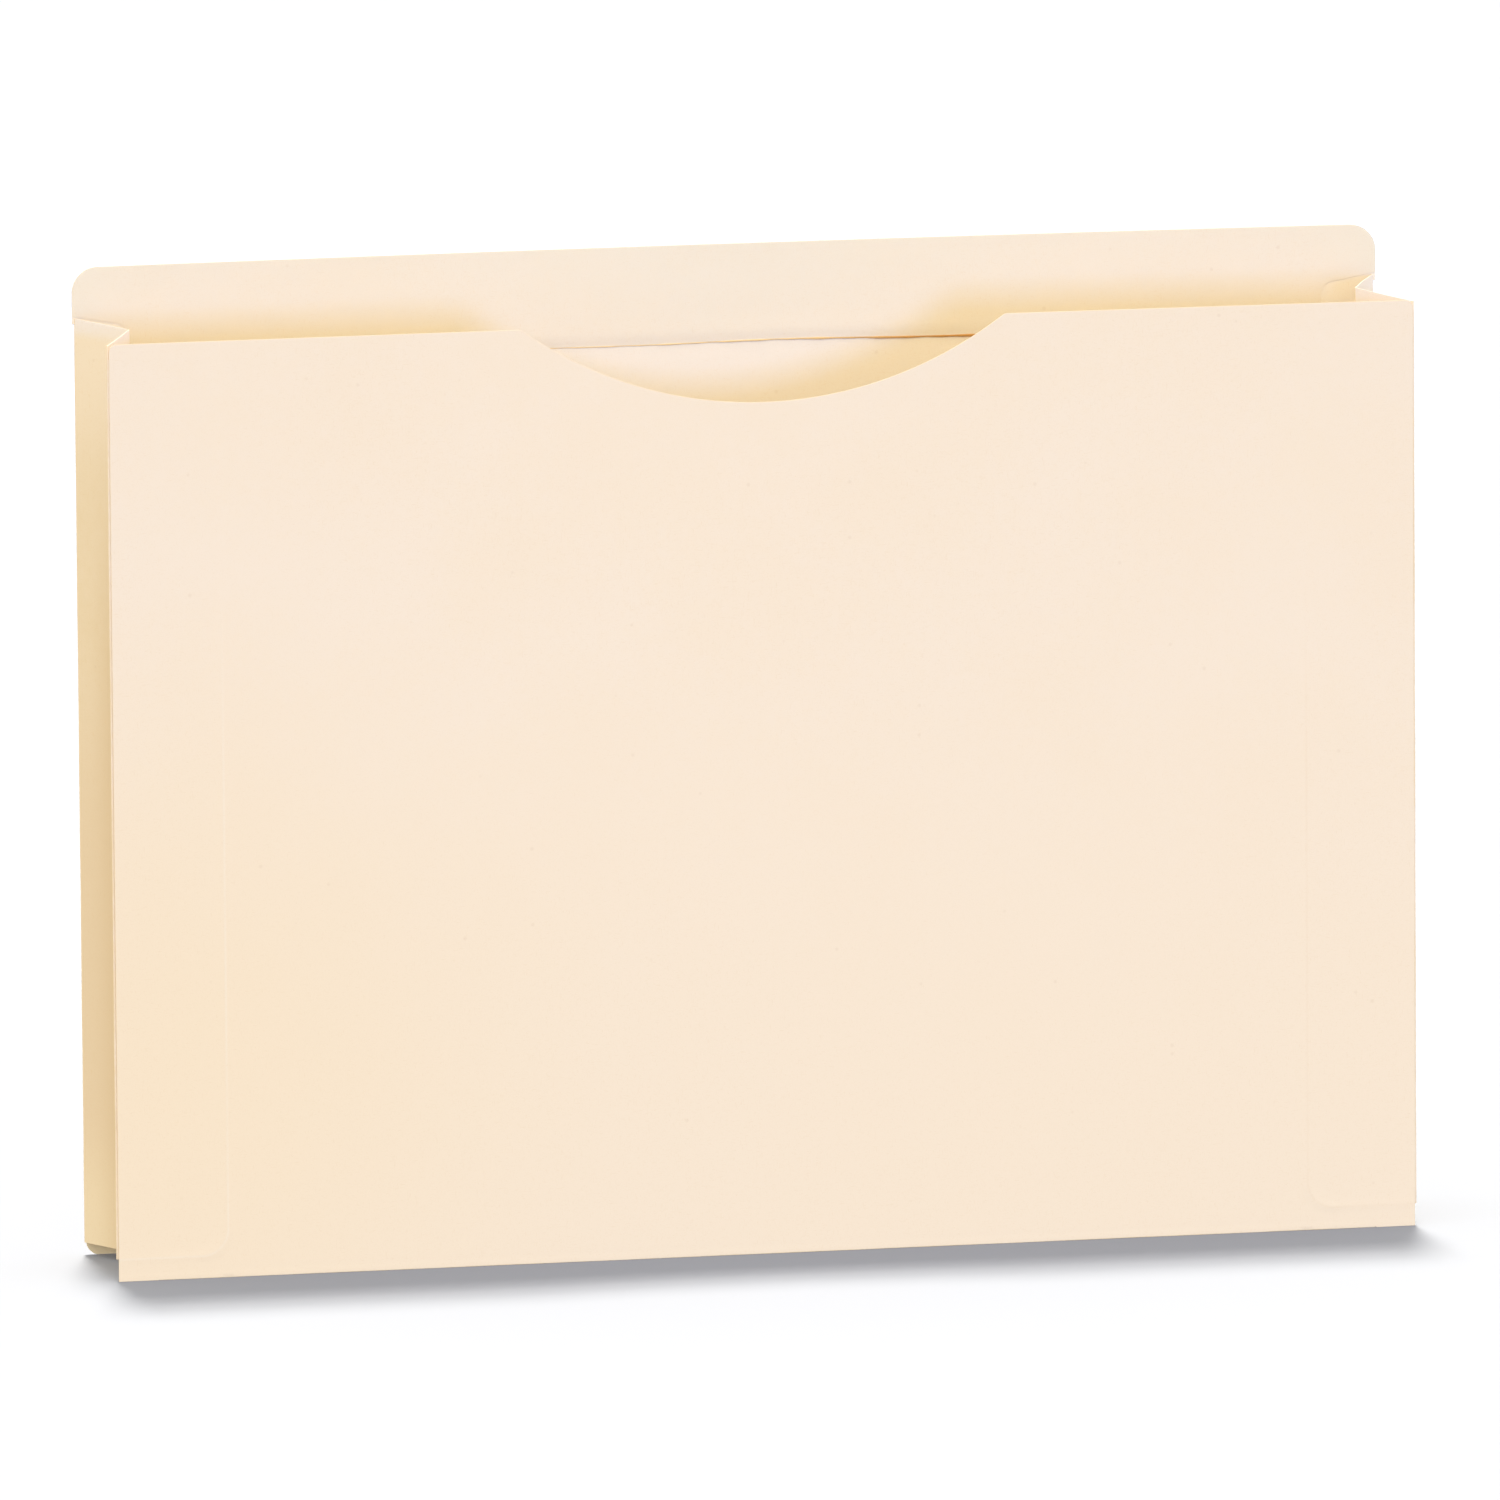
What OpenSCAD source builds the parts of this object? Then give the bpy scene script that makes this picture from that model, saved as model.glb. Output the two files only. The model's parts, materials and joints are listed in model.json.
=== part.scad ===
// Expansion file jacket: a letter size manila jacket, open at the top and closed on three sides.
// One scored and folded sheet makes the back, the bottom, the front and two bellows gussets.
// A second ply is glued behind the label tab. The jacket stands on its opened bottom:
// X runs across, the front faces -Y, Z is up, and the origin is the middle of the footprint.

/* [Sheet] */
// Thickness of the manila board
board = 0.3; // [0.2:0.02:0.5]
// Thickness of a glue film
glue_film = 0.05; // [0.03:0.01:0.1]
// Running clearance between a folded crease and the panels that it joins
crease_gap = 0.05; // [0.03:0.01:0.1]

/* [Jacket] */
// Overall width, across the label tab
jacket_w = 298.45; // [220:0.05:400]
// Height of the front, laid flat, from the bottom fold to its top edge
front_flat_h = 228.6; // [170:0.1:300]
// Expansion: the distance between the two scores of the bottom
expansion = 38.1; // [20:0.1:60]

/* [Label tab] */
// Height of the tab above the top edge of the front
tab_h = 12.7; // [8:0.1:30]
// How far each end of the tab stands past the side crease
tab_overhang = 0.45; // [0.1:0.05:3]
// Radius of the two top corners of the tab
tab_corner_r = 5.8; // [2:0.2:12]
// How far the second ply of the tab reaches down below the top edge of the front
ply_tuck = 11.3; // [6:0.1:30]
// Width of the notch that keeps each end of the ply clear of the folded gusset
ply_notch_w = 12; // [10:0.5:20]
// Radius of the inner corner of that notch
ply_notch_r = 3; // [1:0.5:6]
// How much higher each notch is at the end of the ply
ply_notch_rise = 2; // [0.5:0.25:5]
// Width of the unglued margin around a glue film
glue_margin = 2; // [1:0.5:6]

/* [Thumb cut] */
// Width of the thumb cut along the top edge of the front
thumb_w = 110; // [60:1:160]
// Depth of the thumb cut below the top edge
thumb_d = 18; // [8:0.5:30]
// Radius of the two shoulders of the thumb cut
thumb_shoulder_r = 1.5; // [0.5:0.25:4]

/* [Front panel] */
// How far the cut sides of the front stand in from the side creases
front_inset = 0.5; // [0.2:0.05:2]
// Radius of the two top corners of the front
front_corner_r = 1.6; // [0.4:0.2:4]

/* [Gussets] */
// How much wider each half of a gusset is than half of the expansion
gusset_slack = 1.45; // [0.6:0.05:6]
// How far the top of the gussets stays below the top of the front
gusset_drop = 0.3; // [0.2:0.1:4]
// Height of the gusset's cut edge above the floor at the back
gusset_lift_back = 0.6; // [0.4:0.1:3]
// Height of the gusset's cut edge above the floor at the front
gusset_lift_front = 5; // [1:0.1:8]

/* [Glue flaps] */
// Width of each flap that is glued inside the front
flap_w = 25; // [14:0.5:40]
// Radius of the two inner corners of a flap
flap_corner_r = 6; // [2:0.5:12]
// How far the top of a flap stays below the top of its gusset
flap_drop = 3; // [1:0.5:10]

/* [Bottom] */
// How far each end of the bottom stands in from the cut sides of the front
bottom_inset = 9.2; // [0.6:0.2:14]

/* [Hidden] */

$fn = 64;

manila = [0.96, 0.89, 0.79];
manila_shaded = [0.90, 0.81, 0.66];
dried_glue = [0.93, 0.90, 0.80];

// A corner fold only opens out, so it is one board thick, and turns in the middle of the board.
// A shutting fold lays two boards together, so it is two boards thick, and turns where they meet.
corner_crease_r = board / 2;
shut_crease_r = board;
corner_reach = corner_crease_r + crease_gap;
shut_reach = shut_crease_r + crease_gap;

// Heights when the bottom is opened out flat
front_h = front_flat_h - expansion / 2;
back_h = front_h + tab_h;
ply_foot = front_h - ply_tuck;
gusset_top = front_h - gusset_drop;
panel_foot = corner_crease_r + corner_reach;

// Depth: the two bottom scores lie in the middle of the board of the back and of the front
score_y = expansion / 2;
back_inner_y = score_y - board / 2;
front_inner_y = -back_inner_y;
flap_inner_y = front_inner_y + glue_film + board;

// Width: the outside of a side crease, its axis, and the cut sides of the panels
crease_outer_x = jacket_w / 2 - tab_overhang;
crease_x = crease_outer_x - shut_crease_r;
back_half_w = crease_x - shut_reach;
front_half_w = crease_outer_x - front_inset;
bottom_half_w = front_half_w - bottom_inset;

// A gusset folds inwards as far as its two halves are longer than half of the depth between them
gusset_depth = back_inner_y - flap_inner_y;
gusset_mid_y = (back_inner_y + flap_inner_y) / 2;
gusset_half = expansion / 2 + gusset_slack;
gusset_angle = acos(gusset_depth / 2 / gusset_half);
gusset_fold_in = gusset_half * sin(gusset_angle);
board_tilt = asin(board / gusset_half);

// The thumb cut is one arc through the shoulders and the bottom of the cut
thumb_r = (pow(thumb_w / 2, 2) + pow(thumb_d, 2)) / (2 * thumb_d);
thumb_centre_z = front_h - thumb_d + thumb_r;

// Height of the gusset's cut edge at a distance from the back score along the gusset
function gusset_foot(distance) =
    gusset_lift_back + (gusset_lift_front - gusset_lift_back) * distance / (2 * gusset_half);

// Stand a flat outline up with its front face at face_y and its thickness behind it
module standing_sheet(face_y, thickness) {
    translate([0, face_y + thickness, 0]) rotate([90, 0, 0]) linear_extrude(thickness) children();
}

// The sliver outside a quarter circle, with its sharp corner at the origin
module corner_sliver(radius) {
    difference() {
        square(radius);
        translate([radius, radius]) circle(radius);
    }
}

// Repeat a flat shape on both ends
module both_ends() {
    children();
    mirror([1, 0]) children();
}

module back_outline() {
    difference() {
        union() {
            translate([-back_half_w, panel_foot]) square([2 * back_half_w, back_h - panel_foot]);
            translate([-jacket_w / 2, front_h]) square([jacket_w, back_h - front_h]);
        }
        both_ends() translate([-jacket_w / 2, back_h]) mirror([0, 1]) corner_sliver(tab_corner_r);
    }
}

// The notch at the left end of the ply, with its round inner corner at the origin
module ply_notch() {
    width = tab_overhang + 2 * ply_notch_w;
    height = 2 * ply_tuck;
    slope = ply_notch_rise / (tab_overhang + ply_notch_w - ply_notch_r);
    difference() {
        translate([-width, -height]) square([width, height]);
        mirror([1, 0]) mirror([0, 1]) corner_sliver(ply_notch_r);
    }
    polygon([
        [-ply_notch_r, 0], [-width, slope * (width - ply_notch_r)],
        [-width, -ply_notch_r], [-ply_notch_r, -ply_notch_r]
    ]);
}

// The ply follows the tab above the gussets, and is notched at both ends below
module ply_outline() {
    difference() {
        translate([-jacket_w / 2, ply_foot]) square([jacket_w, back_h - ply_foot]);
        both_ends() translate([-jacket_w / 2, back_h]) mirror([0, 1]) corner_sliver(tab_corner_r);
        both_ends() translate([-crease_outer_x + ply_notch_w, front_h]) ply_notch();
    }
}

module ply_glue_outline() {
    glue_half_w = back_half_w - ply_notch_w - glue_margin;
    translate([-glue_half_w, ply_foot + glue_margin])
        square([2 * glue_half_w, back_h - ply_foot - 2 * glue_margin]);
}

// What a rounded shoulder takes off where the thumb cut meets the top edge
module thumb_shoulder() {
    round_z = front_h - thumb_shoulder_r;
    round_x = sqrt(pow(thumb_r + thumb_shoulder_r, 2) - pow(thumb_centre_z - round_z, 2));
    touch = thumb_r / (thumb_r + thumb_shoulder_r);
    touch_x = round_x * touch;
    touch_z = thumb_centre_z + (round_z - thumb_centre_z) * touch;
    over_z = front_h + thumb_shoulder_r;
    difference() {
        polygon([[round_x, round_z], [round_x, over_z], [touch_x, over_z], [touch_x, touch_z]]);
        translate([round_x, round_z]) circle(thumb_shoulder_r);
    }
}

module front_outline() {
    difference() {
        translate([-front_half_w, panel_foot]) square([2 * front_half_w, front_h - panel_foot]);
        translate([0, thumb_centre_z]) circle(thumb_r, $fn = 180);
        both_ends() thumb_shoulder();
        both_ends() translate([-front_half_w, front_h]) mirror([0, 1]) corner_sliver(front_corner_r);
    }
}

// The right flap: it runs inwards from the front crease, with round inner corners
module flap_outline() {
    outer_x = crease_x - shut_reach;
    inner_x = crease_x - flap_w;
    foot = gusset_lift_front;
    top = gusset_top - flap_drop;
    difference() {
        translate([inner_x, foot]) square([outer_x - inner_x, top - foot]);
        translate([inner_x, foot]) corner_sliver(flap_corner_r);
        translate([inner_x, top]) mirror([0, 1]) corner_sliver(flap_corner_r);
    }
}

module flap_glue_outline() {
    foot = gusset_lift_front + flap_corner_r;
    top = gusset_top - flap_drop - flap_corner_r;
    width = flap_w - shut_reach - 2 * glue_margin;
    translate([crease_x - flap_w + glue_margin, foot]) square([width, top - foot]);
}

// One half of the right gusset at the back: its inner face meets the back score and
// its outer face meets the centre score, so that the halves can fold flat on each other
module gusset_half_sheet(foot_at_panel, foot_at_centre) {
    near = shut_reach;
    far = gusset_half * cos(board_tilt) - shut_reach;
    translate([crease_x, back_inner_y, 0])
        rotate([0, 0, 270 - gusset_angle - board_tilt])
            rotate([90, 0, 0])
                translate([0, 0, -board])
                    linear_extrude(board)
                        polygon([[near, foot_at_panel], [far, foot_at_centre],
                            [far, gusset_top], [near, gusset_top]]);
}

module gusset_back_half() {
    color(manila_shaded) gusset_half_sheet(gusset_foot(0), gusset_foot(gusset_half));
}

module gusset_front_half() {
    color(manila)
        translate([0, 2 * gusset_mid_y, 0])
            mirror([0, 1, 0])
                gusset_half_sheet(gusset_foot(2 * gusset_half), gusset_foot(gusset_half));
}

module glue_flap() {
    color(manila) standing_sheet(flap_inner_y - board, board) flap_outline();
}

module flap_adhesive() {
    color(dried_glue) standing_sheet(front_inner_y, glue_film) flap_glue_outline();
}

module side_crease(x, y, foot) {
    color(manila) translate([x, y, foot]) cylinder(r = shut_crease_r, h = gusset_top - foot);
}

module back_crease() {
    side_crease(crease_x, back_inner_y, gusset_foot(0));
}

module centre_crease() {
    side_crease(crease_x - gusset_fold_in, gusset_mid_y, gusset_foot(gusset_half));
}

module front_crease() {
    side_crease(crease_x, flap_inner_y, gusset_foot(2 * gusset_half));
}

// The left side is the right side mirrored
module left() {
    mirror([1, 0, 0]) children();
}

module back_panel() {
    color(manila) standing_sheet(back_inner_y, board) back_outline();
}

module tab_ply() {
    color(manila) standing_sheet(back_inner_y - glue_film - board, board) ply_outline();
}

module tab_adhesive() {
    color(dried_glue) standing_sheet(back_inner_y - glue_film, glue_film) ply_glue_outline();
}

module front_panel() {
    color(manila) standing_sheet(front_inner_y - board, board) front_outline();
}

// The back half of the bottom, between the back score and the bottom fold
module bottom_half_sheet() {
    color(manila_shaded)
        translate([-bottom_half_w, shut_reach, 0])
            cube([2 * bottom_half_w, score_y - shut_reach - corner_reach, board]);
}

module bottom_crease(y, radius) {
    color(manila)
        translate([-bottom_half_w, y, radius])
            rotate([0, 90, 0])
                cylinder(r = radius, h = 2 * bottom_half_w);
}

back_panel();
tab_ply();
tab_adhesive();
front_panel();
bottom_half_sheet();  // bottom_back_panel
mirror([0, 1, 0]) bottom_half_sheet();  // bottom_front_panel
left() gusset_back_half();  // left_gusset_back
left() gusset_front_half();  // left_gusset_front
gusset_back_half();  // right_gusset_back
gusset_front_half();  // right_gusset_front
left() glue_flap();  // left_glue_flap
glue_flap();  // right_glue_flap
left() flap_adhesive();  // left_flap_adhesive
flap_adhesive();  // right_flap_adhesive
left() back_crease();  // left_back_crease
left() centre_crease();  // left_centre_crease
left() front_crease();  // left_front_crease
back_crease();  // right_back_crease
centre_crease();  // right_centre_crease
front_crease();  // right_front_crease
bottom_crease(score_y, corner_crease_r);  // bottom_back_crease
bottom_crease(0, shut_crease_r);  // bottom_centre_crease
bottom_crease(-score_y, corner_crease_r);  // bottom_front_crease
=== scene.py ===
"""Manila expansion file jacket: the board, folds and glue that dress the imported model."""
import json
import math

import bmesh
import bpy
from mathutils import Matrix, Vector


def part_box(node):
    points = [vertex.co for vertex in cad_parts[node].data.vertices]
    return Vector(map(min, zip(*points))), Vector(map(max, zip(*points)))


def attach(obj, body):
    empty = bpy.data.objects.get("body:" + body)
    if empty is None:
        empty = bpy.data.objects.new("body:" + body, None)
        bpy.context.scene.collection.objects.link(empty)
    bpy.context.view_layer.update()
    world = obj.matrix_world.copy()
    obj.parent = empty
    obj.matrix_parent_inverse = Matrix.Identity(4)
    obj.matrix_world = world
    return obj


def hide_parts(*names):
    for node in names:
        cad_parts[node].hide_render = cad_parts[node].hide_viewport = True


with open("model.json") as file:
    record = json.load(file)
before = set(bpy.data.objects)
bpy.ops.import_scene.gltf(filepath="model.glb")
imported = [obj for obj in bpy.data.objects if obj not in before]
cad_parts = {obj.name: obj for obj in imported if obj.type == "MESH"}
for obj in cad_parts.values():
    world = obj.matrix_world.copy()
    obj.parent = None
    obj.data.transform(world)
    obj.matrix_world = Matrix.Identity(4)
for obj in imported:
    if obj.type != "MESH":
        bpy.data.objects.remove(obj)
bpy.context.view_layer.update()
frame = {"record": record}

MM = 0.001
BODY_OF = {
    node: body
    for body, nodes in frame["record"]["behaviour"]["bodies"].items()
    for node in nodes
}
SIDES = ("left", "right")
ENDS = ("back", "front")
FOLDS = ("back", "centre", "front")

# Cut sheets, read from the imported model
FRONT_LOW, FRONT_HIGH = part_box("front_panel")
BACK_LOW, BACK_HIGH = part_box("back_panel")
PLY_LOW, PLY_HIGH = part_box("tab_ply")
FLAP_LOW, FLAP_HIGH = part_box("right_glue_flap")
BOARD = FRONT_HIGH.y - FRONT_LOW.y
FRONT_TOP = FRONT_HIGH.z
CREASE_HIGH_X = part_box("right_back_crease")[1].x
CREASE_X = CREASE_HIGH_X - BOARD
BOTTOM_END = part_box("bottom_front_panel")[1].x

# Outline details of the sheets
THUMB_WIDTH = 110 * MM
THUMB_DEPTH = 18 * MM
THUMB_SHOULDER = 0.5 * MM
TAB_CORNER = 5.8 * MM
FRONT_CORNER = 1.6 * MM
FLAP_CORNER = 6 * MM
BACK_FOOT_CORNER = 2.6 * MM
PLY_NOTCH = 12 * MM
PLY_NOTCH_CORNER = 3 * MM
PLY_NOTCH_RISE = 2 * MM
PLY_FOOT_RISE = 2 * MM
PLY_FOOT = PLY_LOW.z + PLY_FOOT_RISE
GUSSET_TOP_RISE = {"front": 0, "centre": 1.1 * MM, "back": 1.6 * MM}
GUSSET_FOOT_RISE = {"front": 0, "centre": 0, "back": 2.2 * MM}

# How far cut edges are softened, and how far sheets are let into the folds beside them
EDGE_SOFTNESS = 0.04 * MM
LAP = 0.14 * MM

# Tolerances: a point at a place, an edge straight through a sheet, and two cuts too close together
NEAR = 0.1 * MM
STRAIGHT = 0.01 * MM
CUTS_APART = 0.12 * MM

# Where faces turn smoothly into each other, and where a cut edge is softened
SMOOTH_ANGLE = math.radians(60)
CUT_ANGLE = math.radians(50)

# How the open panels bow at their tops, with a slight ripple
BACK_BOW = {
    "depth": 4.0 * MM, "ripple": 0.12 * MM, "wave_x": 23 * MM, "wave_z": 61 * MM, "phase": 0.6
}
FRONT_BOW = {
    "depth": 1.6 * MM, "ripple": 0.14 * MM, "wave_x": 31 * MM, "wave_z": 47 * MM, "phase": -0.4
}

# Beyond the ends of the bottom, the cut feet of the panels come down to the floor
FOOT_DROP = 0.9
FOOT_DROP_RUN = 0.3 * MM
FOOT_DROP_HEIGHT = 0.5 * MM
FOOT_DROP_ROW = 0.4 * MM

# How the gussets hollow, the folds are crushed and the ply's lower edge wanders and stands off;
# each wave is a length, a phase and a height
GUSSET_HOLLOW = 0.15 * MM
GUSSET_SWAY = {"left": ((38 * MM, 0.7, 0.5),), "right": ((38 * MM, 2.1, 0.5),)}
FOLD_WEAR = 0.06
FOLD_CRUSH = ((7.3 * MM, 0, 0.05), (2.9 * MM, 1.3, 0.04))
PLY_EDGE_ZONE = 7 * MM
PLY_EDGE_LIFT = 0.12 * MM
PLY_EDGE_LIFT_LEVEL = 0.55
PLY_EDGE_LIFT_WAVES = ((34 * MM, 0.4, 0.45),)
PLY_EDGE_WAVE = 0.35 * MM
PLY_EDGE_WAVES = ((9.5 * MM, 0, 1 / 3), (22 * MM, 1.1, 2 / 3))
PLY_EDGE_PRESS = 0.22 * MM
PLY_PRESS_WIDTH = 2.2 * MM

# Glue pressed out under the ply, a thread at its thin end and a bead at its thick end; the bead
# also stands for the shadow line under the ply's raised lower edge, painted darker as shadow
# towards the right
GLUE_BEAD_END = 130 * MM
GLUE_BEAD_TAPER = 8 * MM
GLUE_BEAD_THIN = 0.13 * MM
GLUE_BEAD_THICK = 0.27 * MM
GLUE_BEAD_GROWS = (-46 * MM, 46 * MM)
GLUE_BEAD_LUMPS = ((2.7 * MM, 0, 0.16), (1.1 * MM, 0.8, 0.12))
GLUE_BEAD_OUT = 0.35
GLUE_BEAD_DOWN = 0.6

# The flap edges that press through the front, fainter high up and along their feet
FLAP_STEP = 0.03 * MM
FLAP_RIDGE = 0.09 * MM
FLAP_RIDGE_WIDTH = 0.9 * MM
FLAP_FADE = (160 * MM, 110 * MM)
FLAP_FAINT = 0.25
FLAP_FOOT_LOSS = 0.6
FLAP_FOOT_RUN = 3 * MM
# Painted highlight along the left flap edge and painted shade along the right one: width, fade with
# height, strength
FLAP_LINE_WIDTH = 0.45 * MM
FLAP_LINE_FADE = (165 * MM, 100 * MM)
FLAP_LINE_STRENGTH = 0.36

# The pressed line beside the bottom fold
SCORE_HEIGHT = 1.9 * MM
SCORE_DEPTH = 0.012 * MM
SCORE_WIDTH = 0.45 * MM


# Modelling steps

def only(piece):
    """Make one piece the one that the next steps act on."""
    bpy.ops.object.select_all(action="DESELECT")
    piece.select_set(True)
    bpy.context.view_layer.objects.active = piece


def settle(name):
    """Name the shape that was just added, and make its place and size part of its mesh."""
    piece = bpy.context.active_object
    only(piece)
    bpy.ops.object.transform_apply(location=True, rotation=True, scale=True)
    piece.name = piece.data.name = name
    return piece


def sheet(name, centre, size, turn=0):
    """Board cut to a rectangle about its middle and turned about an upright line there."""
    bpy.ops.mesh.primitive_cube_add(size=1, location=centre, rotation=(0, 0, turn), scale=size)
    return settle(name)


def blank(name, low, high):
    """Board cut to a rectangle between its lowest and its highest corner."""
    low, high = Vector(low), Vector(high)
    return sheet(name, (low + high) / 2, high - low)


def rod(name, centre, radius, length, turn, corners):
    """A round bar about its middle."""
    bpy.ops.mesh.primitive_cylinder_add(
        vertices=corners, radius=radius, depth=length, location=centre, rotation=turn
    )
    return settle(name)


def pick(piece, kind, wanted, through=False):
    """In edit mode, select the points or edges whose points all pass a test.

    Of the edges, only those straight through a standing sheet are taken if asked.
    """
    bpy.ops.mesh.select_mode(type=kind)
    bpy.ops.mesh.select_all(action="DESELECT")
    shape = bmesh.from_edit_mesh(piece.data)
    for part in shape.verts if kind == "VERT" else shape.edges:
        points = [part.co] if kind == "VERT" else [v.co for v in part.verts]
        straight = not through or (points[1] - points[0]).xz.length < STRAIGHT
        part.select_set(straight and all(wanted(p) for p in points))
    shape.select_flush_mode()
    bmesh.update_edit_mesh(piece.data)


def round_corners(piece, wanted, radius, steps):
    """Round off an outline at the short edges through the board that pass a test."""
    only(piece)
    bpy.ops.object.mode_set(mode="EDIT")
    pick(piece, "EDGE", wanted, through=True)
    bpy.ops.mesh.bevel(offset=radius, offset_type="OFFSET", segments=steps, affect="EDGES")
    bpy.ops.object.mode_set(mode="OBJECT")


def raise_points(piece, moves):
    """Raise the points that pass each test by the height that goes with it."""
    only(piece)
    bpy.ops.object.mode_set(mode="EDIT")
    for wanted, height in moves:
        pick(piece, "VERT", wanted)
        bpy.ops.transform.translate(value=(0, 0, height))
    bpy.ops.object.mode_set(mode="OBJECT")


def shape_with(piece, tool, operation):
    """Cut a tool out of a piece, or join it on, and throw the tool away."""
    only(piece)
    step = piece.modifiers.new("shape", "BOOLEAN")
    step.operation = operation
    step.solver = "EXACT"
    step.object = tool
    bpy.ops.object.modifier_apply(modifier=step.name)
    bpy.data.meshes.remove(tool.data)


def soften_cut_edges(piece):
    """Take the sharpness off the cut edges of the board."""
    only(piece)
    step = piece.modifiers.new("soft_edges", "BEVEL")
    step.width = EDGE_SOFTNESS
    step.segments = 2
    step.limit_method = "ANGLE"
    step.angle_limit = CUT_ANGLE
    bpy.ops.object.modifier_apply(modifier=step.name)


def spaced(low, high, step):
    """Places between two ends, about a step apart."""
    count = max(2, round((high - low) / step))
    return [low + (high - low) * i / count for i in range(1, count)]


def mirrored(places):
    """Places, and the same places on the other side of 0."""
    return [*places, *(-place for place in places)]


def divide(piece, direction, places):
    """Divide a sheet across a direction at each place, so that it can bend there."""
    direction = Vector(direction)
    only(piece)
    bpy.ops.object.mode_set(mode="EDIT")
    last = None
    for place in sorted(places):
        if last is not None and place - last < CUTS_APART:
            continue
        last = place
        bpy.ops.mesh.select_all(action="SELECT")
        bpy.ops.mesh.bisect(plane_co=direction * place, plane_no=direction)
    bpy.ops.object.mode_set(mode="OBJECT")


def grid(piece, low, high, step_x, step_z, columns=(), rows=()):
    """Divide a standing sheet both ways, with extra columns and rows where it bends most."""
    divide(piece, (1, 0, 0), [*spaced(low.x, high.x, step_x), *columns])
    divide(piece, (0, 0, 1), [*spaced(low.z, high.z, step_z), *rows])


def bend(piece, shift):
    """Move each point of a piece by what a bend gives at that point."""
    for vertex in piece.data.vertices:
        vertex.co += Vector(shift(vertex.co))
    piece.data.update()


def finish_piece(piece, node, material):
    """Smooth a piece, give it its finish, and hang it on the body of the node it stands for."""
    only(piece)
    bpy.ops.object.shade_smooth_by_angle(angle=SMOOTH_ANGLE)
    step = piece.modifiers.new("even_faces", "WEIGHTED_NORMAL")
    step.keep_sharp = True
    bpy.ops.object.modifier_apply(modifier=step.name)
    piece.data.materials.clear()
    piece.data.materials.append(material)
    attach(piece, BODY_OF[node])
    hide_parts(node)


# Bends of the open board

def ease(value):
    """A soft step from 0 to 1."""
    value = min(max(value, 0), 1)
    return value * value * (3 - 2 * value)


def hump(distance, width):
    """A rounded bump of height 1 at distance 0."""
    return math.exp(-((distance / width) ** 2))


def waves(run, rows):
    """A sum of waves along a run."""
    return sum(height * math.sin(run / length + phase) for length, phase, height in rows)


def foot_drop(p, panel_foot):
    """Beyond the ends of the bottom, the cut foot of a panel stands on the floor."""
    beyond = ease((abs(p.x) - BOTTOM_END) / FOOT_DROP_RUN)
    near = ease(1 - (p.z - panel_foot + LAP) / FOOT_DROP_HEIGHT)
    return -(panel_foot - LAP) * FOOT_DROP * beyond * near


def panel_bow(p, high, depth, ripple, wave_x, wave_z, phase):
    """How far a panel leans to the rear between its two side folds."""
    across = max(0, 1 - (p.x / high.x) ** 2)
    ripples = ripple * math.sin(p.x / wave_x + phase) * math.sin(p.z / wave_z)
    return (depth * (p.z / high.z) ** 2 + ripples) * across


def back_bow(p):
    """The top of the back leans away."""
    return panel_bow(p, BACK_HIGH, **BACK_BOW)


def front_bow(p):
    """The top of the front leans in a little."""
    return panel_bow(p, FRONT_HIGH, **FRONT_BOW)


def ply_edge_wave(x):
    """How far the cut lower edge of the ply wanders up and down."""
    return PLY_EDGE_WAVE * waves(x, PLY_EDGE_WAVES)


def ply_edge_distance(p):
    """How far a point of the ply is from its lower edge or from a notch."""
    beside = CREASE_HIGH_X - PLY_NOTCH - abs(p.x)
    above = p.z - FRONT_TOP - PLY_NOTCH_RISE * max(0, -beside) / PLY_NOTCH
    return min(p.z - PLY_FOOT, math.hypot(max(beside, 0), max(above, 0)))


def flap_relief(p):
    """How far the edge of a glue flap presses out through the front."""
    beside = FLAP_LOW.x + FLAP_CORNER - abs(p.x)
    beyond = max(FLAP_LOW.z + FLAP_CORNER - p.z, p.z - FLAP_HIGH.z + FLAP_CORNER)
    outside = math.hypot(max(beside, 0), max(beyond, 0)) + min(max(beside, beyond), 0) - FLAP_CORNER
    start, stop = FLAP_FADE
    glued = FLAP_FAINT + (1 - FLAP_FAINT) * ease((start - p.z) / (start - stop))
    glued *= 1 - FLAP_FOOT_LOSS * ease((abs(p.x) - FLAP_LOW.x - FLAP_CORNER) / FLAP_FOOT_RUN)
    step = FLAP_STEP * ease(0.5 - outside / (2 * FLAP_RIDGE_WIDTH))
    return (step + FLAP_RIDGE * hump(outside, FLAP_RIDGE_WIDTH)) * glued


def score_relief(p):
    """The pressed line that runs beside the bottom fold."""
    return -SCORE_DEPTH * hump(p.z - SCORE_HEIGHT, SCORE_WIDTH)


# Shader groups and finishes

# Pulp, with scales per metre
CLOUD_SCALES = (34, 420)
CLOUD_SHARES = (0.6, 0.4)
FIBRE_RUNS = ((0.5, (900, 900, 5200)), (-0.9, (5200, 900, 900)), (1.9, (2600, 900, 3900)))
FIBRE_LEVELS = (0.60, 0.82)
SPECK_SCALE = 260
SPECK_LEVELS = (0.16, 0.05)
TOOTH_SCALE = 2600

# How strongly the pulp shows in the board
CLOUD_LEVELS = (0.32, 0.68)
FIBRE_SHARE = 0.16
FIBRE_SHADE = (224, 192, 146)
SPECK_SHARE = 0.09
SPECK_SHADE = (176, 132, 84)
TOOTH_DEPTH = 0.05 * MM
ROUGH_LEVELS = (0.3, 0.7)
ROUGH_SPREAD = (-0.05, 0.06)
BOARD_SPECULAR = 0.3

# Where painted light and shade lie on the board
INNER_FACE = (0.3, -0.3)
VALLEY_REACH = 17 * MM
VALLEY_FADE = (205 * MM, 120 * MM)
LINE_BREAKS = (0.35, 0.6, 0.4, 1.0)

# Brush streaks in glue, with scales per metre
GLUE_STREAKS = (60, 60, 700)
GLUE_ROUGH = (0.28, 0.5)


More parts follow.
